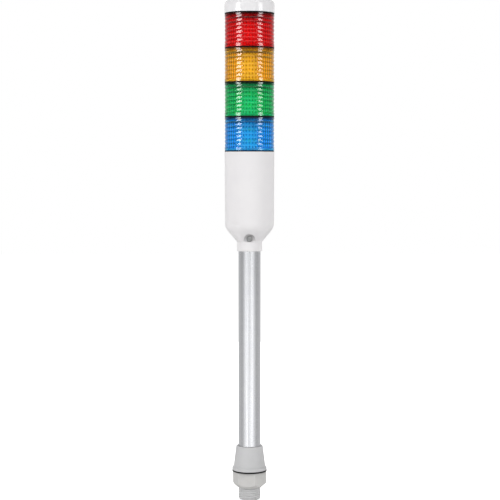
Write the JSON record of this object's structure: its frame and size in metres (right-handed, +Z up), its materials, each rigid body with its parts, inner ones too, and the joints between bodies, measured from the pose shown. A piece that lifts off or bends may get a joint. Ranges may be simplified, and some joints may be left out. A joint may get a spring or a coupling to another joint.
{
  "type": "stack light",
  "caption": "Signal tower of coloured ribbed light modules on a white housing, with a tube pole and a threaded panel foot with gasket and lock nut.",
  "frame": {"origin": "on the tower's axis, in the plane where the panel gasket meets the panel", "axes": "+Z up along the tower, towards the cap; -Y is the front, with the clamp screw's pocket and the index marks; +X to the right seen from the front"},
  "size_m": [0.0496, 0.0497, 0.4986],
  "materials": {
    "white_plastic": "satin moulded",
    "dark_plastic": "matt moulded",
    "seal_rubber": "matt",
    "grey_plastic": "fine moulded grain",
    "nut_plastic": "fine moulded grain",
    "pole_aluminium": "satin anodised",
    "steel": "zinc plated",
    "brass": "plain",
    "board": "white solder mask",
    "led": "clear resin",
    "terminal_plastic": "plain",
    "red_lens": "clear coloured, ribbed",
    "amber_lens": "clear coloured, ribbed",
    "green_lens": "clear coloured, ribbed",
    "blue_lens": "clear coloured, ribbed"
  },
  "bodies": {
    "mast": {"pole_foot": "grey_plastic", "foot_grub_screw": "steel", "pole": "pole_aluminium", "base_housing": "white_plastic", "pole_clamp_screw": "steel", "terminal_tray": "dark_plastic", "terminal_block": "terminal_plastic", "wire_clamps": "brass", "base_ring_board": "board"},
    "panel_gasket": {"panel_gasket": "seal_rubber"},
    "lock_nut": {"lock_nut": "nut_plastic"},
    "blue_module": {"blue_seal": "seal_rubber", "blue_base_plate": "dark_plastic", "blue_contact_blades": "brass", "blue_led_column": "board", "blue_leds": "led", "blue_ring_board": "board", "blue_lens": "blue_lens"},
    "green_module": {"green_seal": "seal_rubber", "green_base_plate": "dark_plastic", "green_contact_blades": "brass", "green_led_column": "board", "green_leds": "led", "green_ring_board": "board", "green_lens": "green_lens"},
    "amber_module": {"amber_seal": "seal_rubber", "amber_base_plate": "dark_plastic", "amber_contact_blades": "brass", "amber_led_column": "board", "amber_leds": "led", "amber_ring_board": "board", "amber_lens": "amber_lens"},
    "red_module": {"red_seal": "seal_rubber", "red_base_plate": "dark_plastic", "red_contact_blades": "brass", "red_led_column": "board", "red_leds": "led", "red_ring_board": "board", "red_lens": "red_lens"},
    "cap": {"cap_seal": "seal_rubber", "cap_base_plate": "dark_plastic", "head_cap": "white_plastic"}
  },
  "joints": [
    {"name": "blue_twist", "type": "hinge", "parent": "mast", "child": "blue_module", "pos_m": [0, 0, 0.3199], "axis": [0, 0, 1], "range_deg": [0, 25]},
    {"name": "green_twist", "type": "hinge", "parent": "blue_module", "child": "green_module", "pos_m": [0, 0, 0.3537], "axis": [0, 0, 1], "range_deg": [0, 25]},
    {"name": "amber_twist", "type": "hinge", "parent": "green_module", "child": "amber_module", "pos_m": [0, 0, 0.3875], "axis": [0, 0, 1], "range_deg": [0, 25]},
    {"name": "red_twist", "type": "hinge", "parent": "amber_module", "child": "red_module", "pos_m": [0, 0, 0.4213], "axis": [0, 0, 1], "range_deg": [0, 25]},
    {"name": "cap_twist", "type": "hinge", "parent": "red_module", "child": "cap", "pos_m": [0, 0, 0.4551], "axis": [0, 0, 1], "range_deg": [0, 25]},
    {"name": "gasket_drop", "type": "slide", "parent": "mast", "child": "panel_gasket", "axis": [0, 0, -1], "range_m": [0, 0.0125]},
    {"name": "nut_turn", "type": "hinge", "parent": "panel_gasket", "child": "lock_nut", "pos_m": [0, 0, 0], "axis": [0, 0, -1], "range_deg": [0, 1800]}
  ],
  "couplings": [
    {"joint": "gasket_drop", "follows": "nut_turn", "m_per_rad": 0.00039788}
  ]
}
